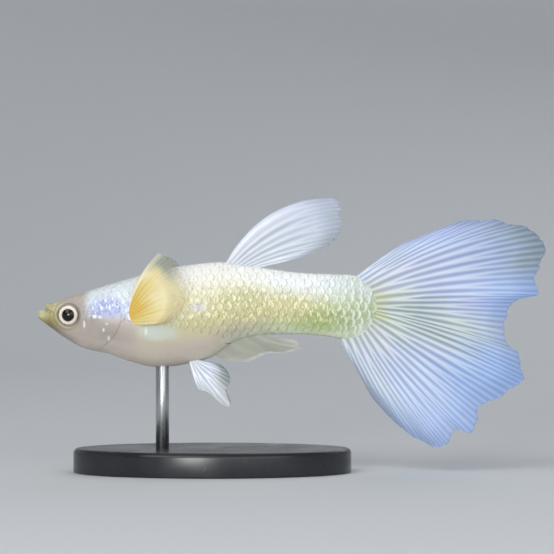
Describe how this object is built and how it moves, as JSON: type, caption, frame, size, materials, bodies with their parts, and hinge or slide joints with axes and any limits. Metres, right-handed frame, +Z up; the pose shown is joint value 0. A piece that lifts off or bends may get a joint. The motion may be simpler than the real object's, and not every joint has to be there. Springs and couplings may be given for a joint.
{
  "type": "fancy guppy",
  "caption": "Life-size still model of a male fancy guppy with a long ragged tail fan and spread pectoral fins, held on an oval display base by a short rod.",
  "frame": {"origin": "on the underside of the stand's base, straight below the rod", "axes": "+X from the snout back towards the tail fin, +Y to the fish's right, +Z up"},
  "size_m": [0.0457, 0.016, 0.0246],
  "materials": {
    "head_skin": "cast resin, painted olive and pearl, satin lacquer",
    "flank_skin": "cast resin with fine scales, painted pearl, gold and green, satin lacquer",
    "tail_membrane": "thin rayed membrane, ice blue with white rays, satin",
    "dorsal_membrane": "thin rayed membrane, pale lavender white, satin",
    "pectoral_membrane": "thin rayed membrane, warm yellow with a clear edge, satin",
    "belly_fin_membrane": "thin rayed membrane, pale grey blue, satin",
    "eye": "silver iris round a black pupil under clear gloss",
    "stand_acrylic": "dark acrylic, satin",
    "stand_steel": "drawn stainless wire"
  },
  "bodies": {
    "root": {"head": "head_skin", "trunk": "flank_skin", "tail_stalk": "flank_skin", "tail_fin": "tail_membrane", "dorsal_fin": "dorsal_membrane", "anal_fin": "belly_fin_membrane", "eye_left": "eye", "eye_right": "eye", "pectoral_fin_left": "pectoral_membrane", "pectoral_fin_right": "pectoral_membrane", "pelvic_fin_left": "belly_fin_membrane", "pelvic_fin_right": "belly_fin_membrane", "stand_base": "stand_acrylic", "stand_rod": "stand_steel"}
  },
  "joints": []
}
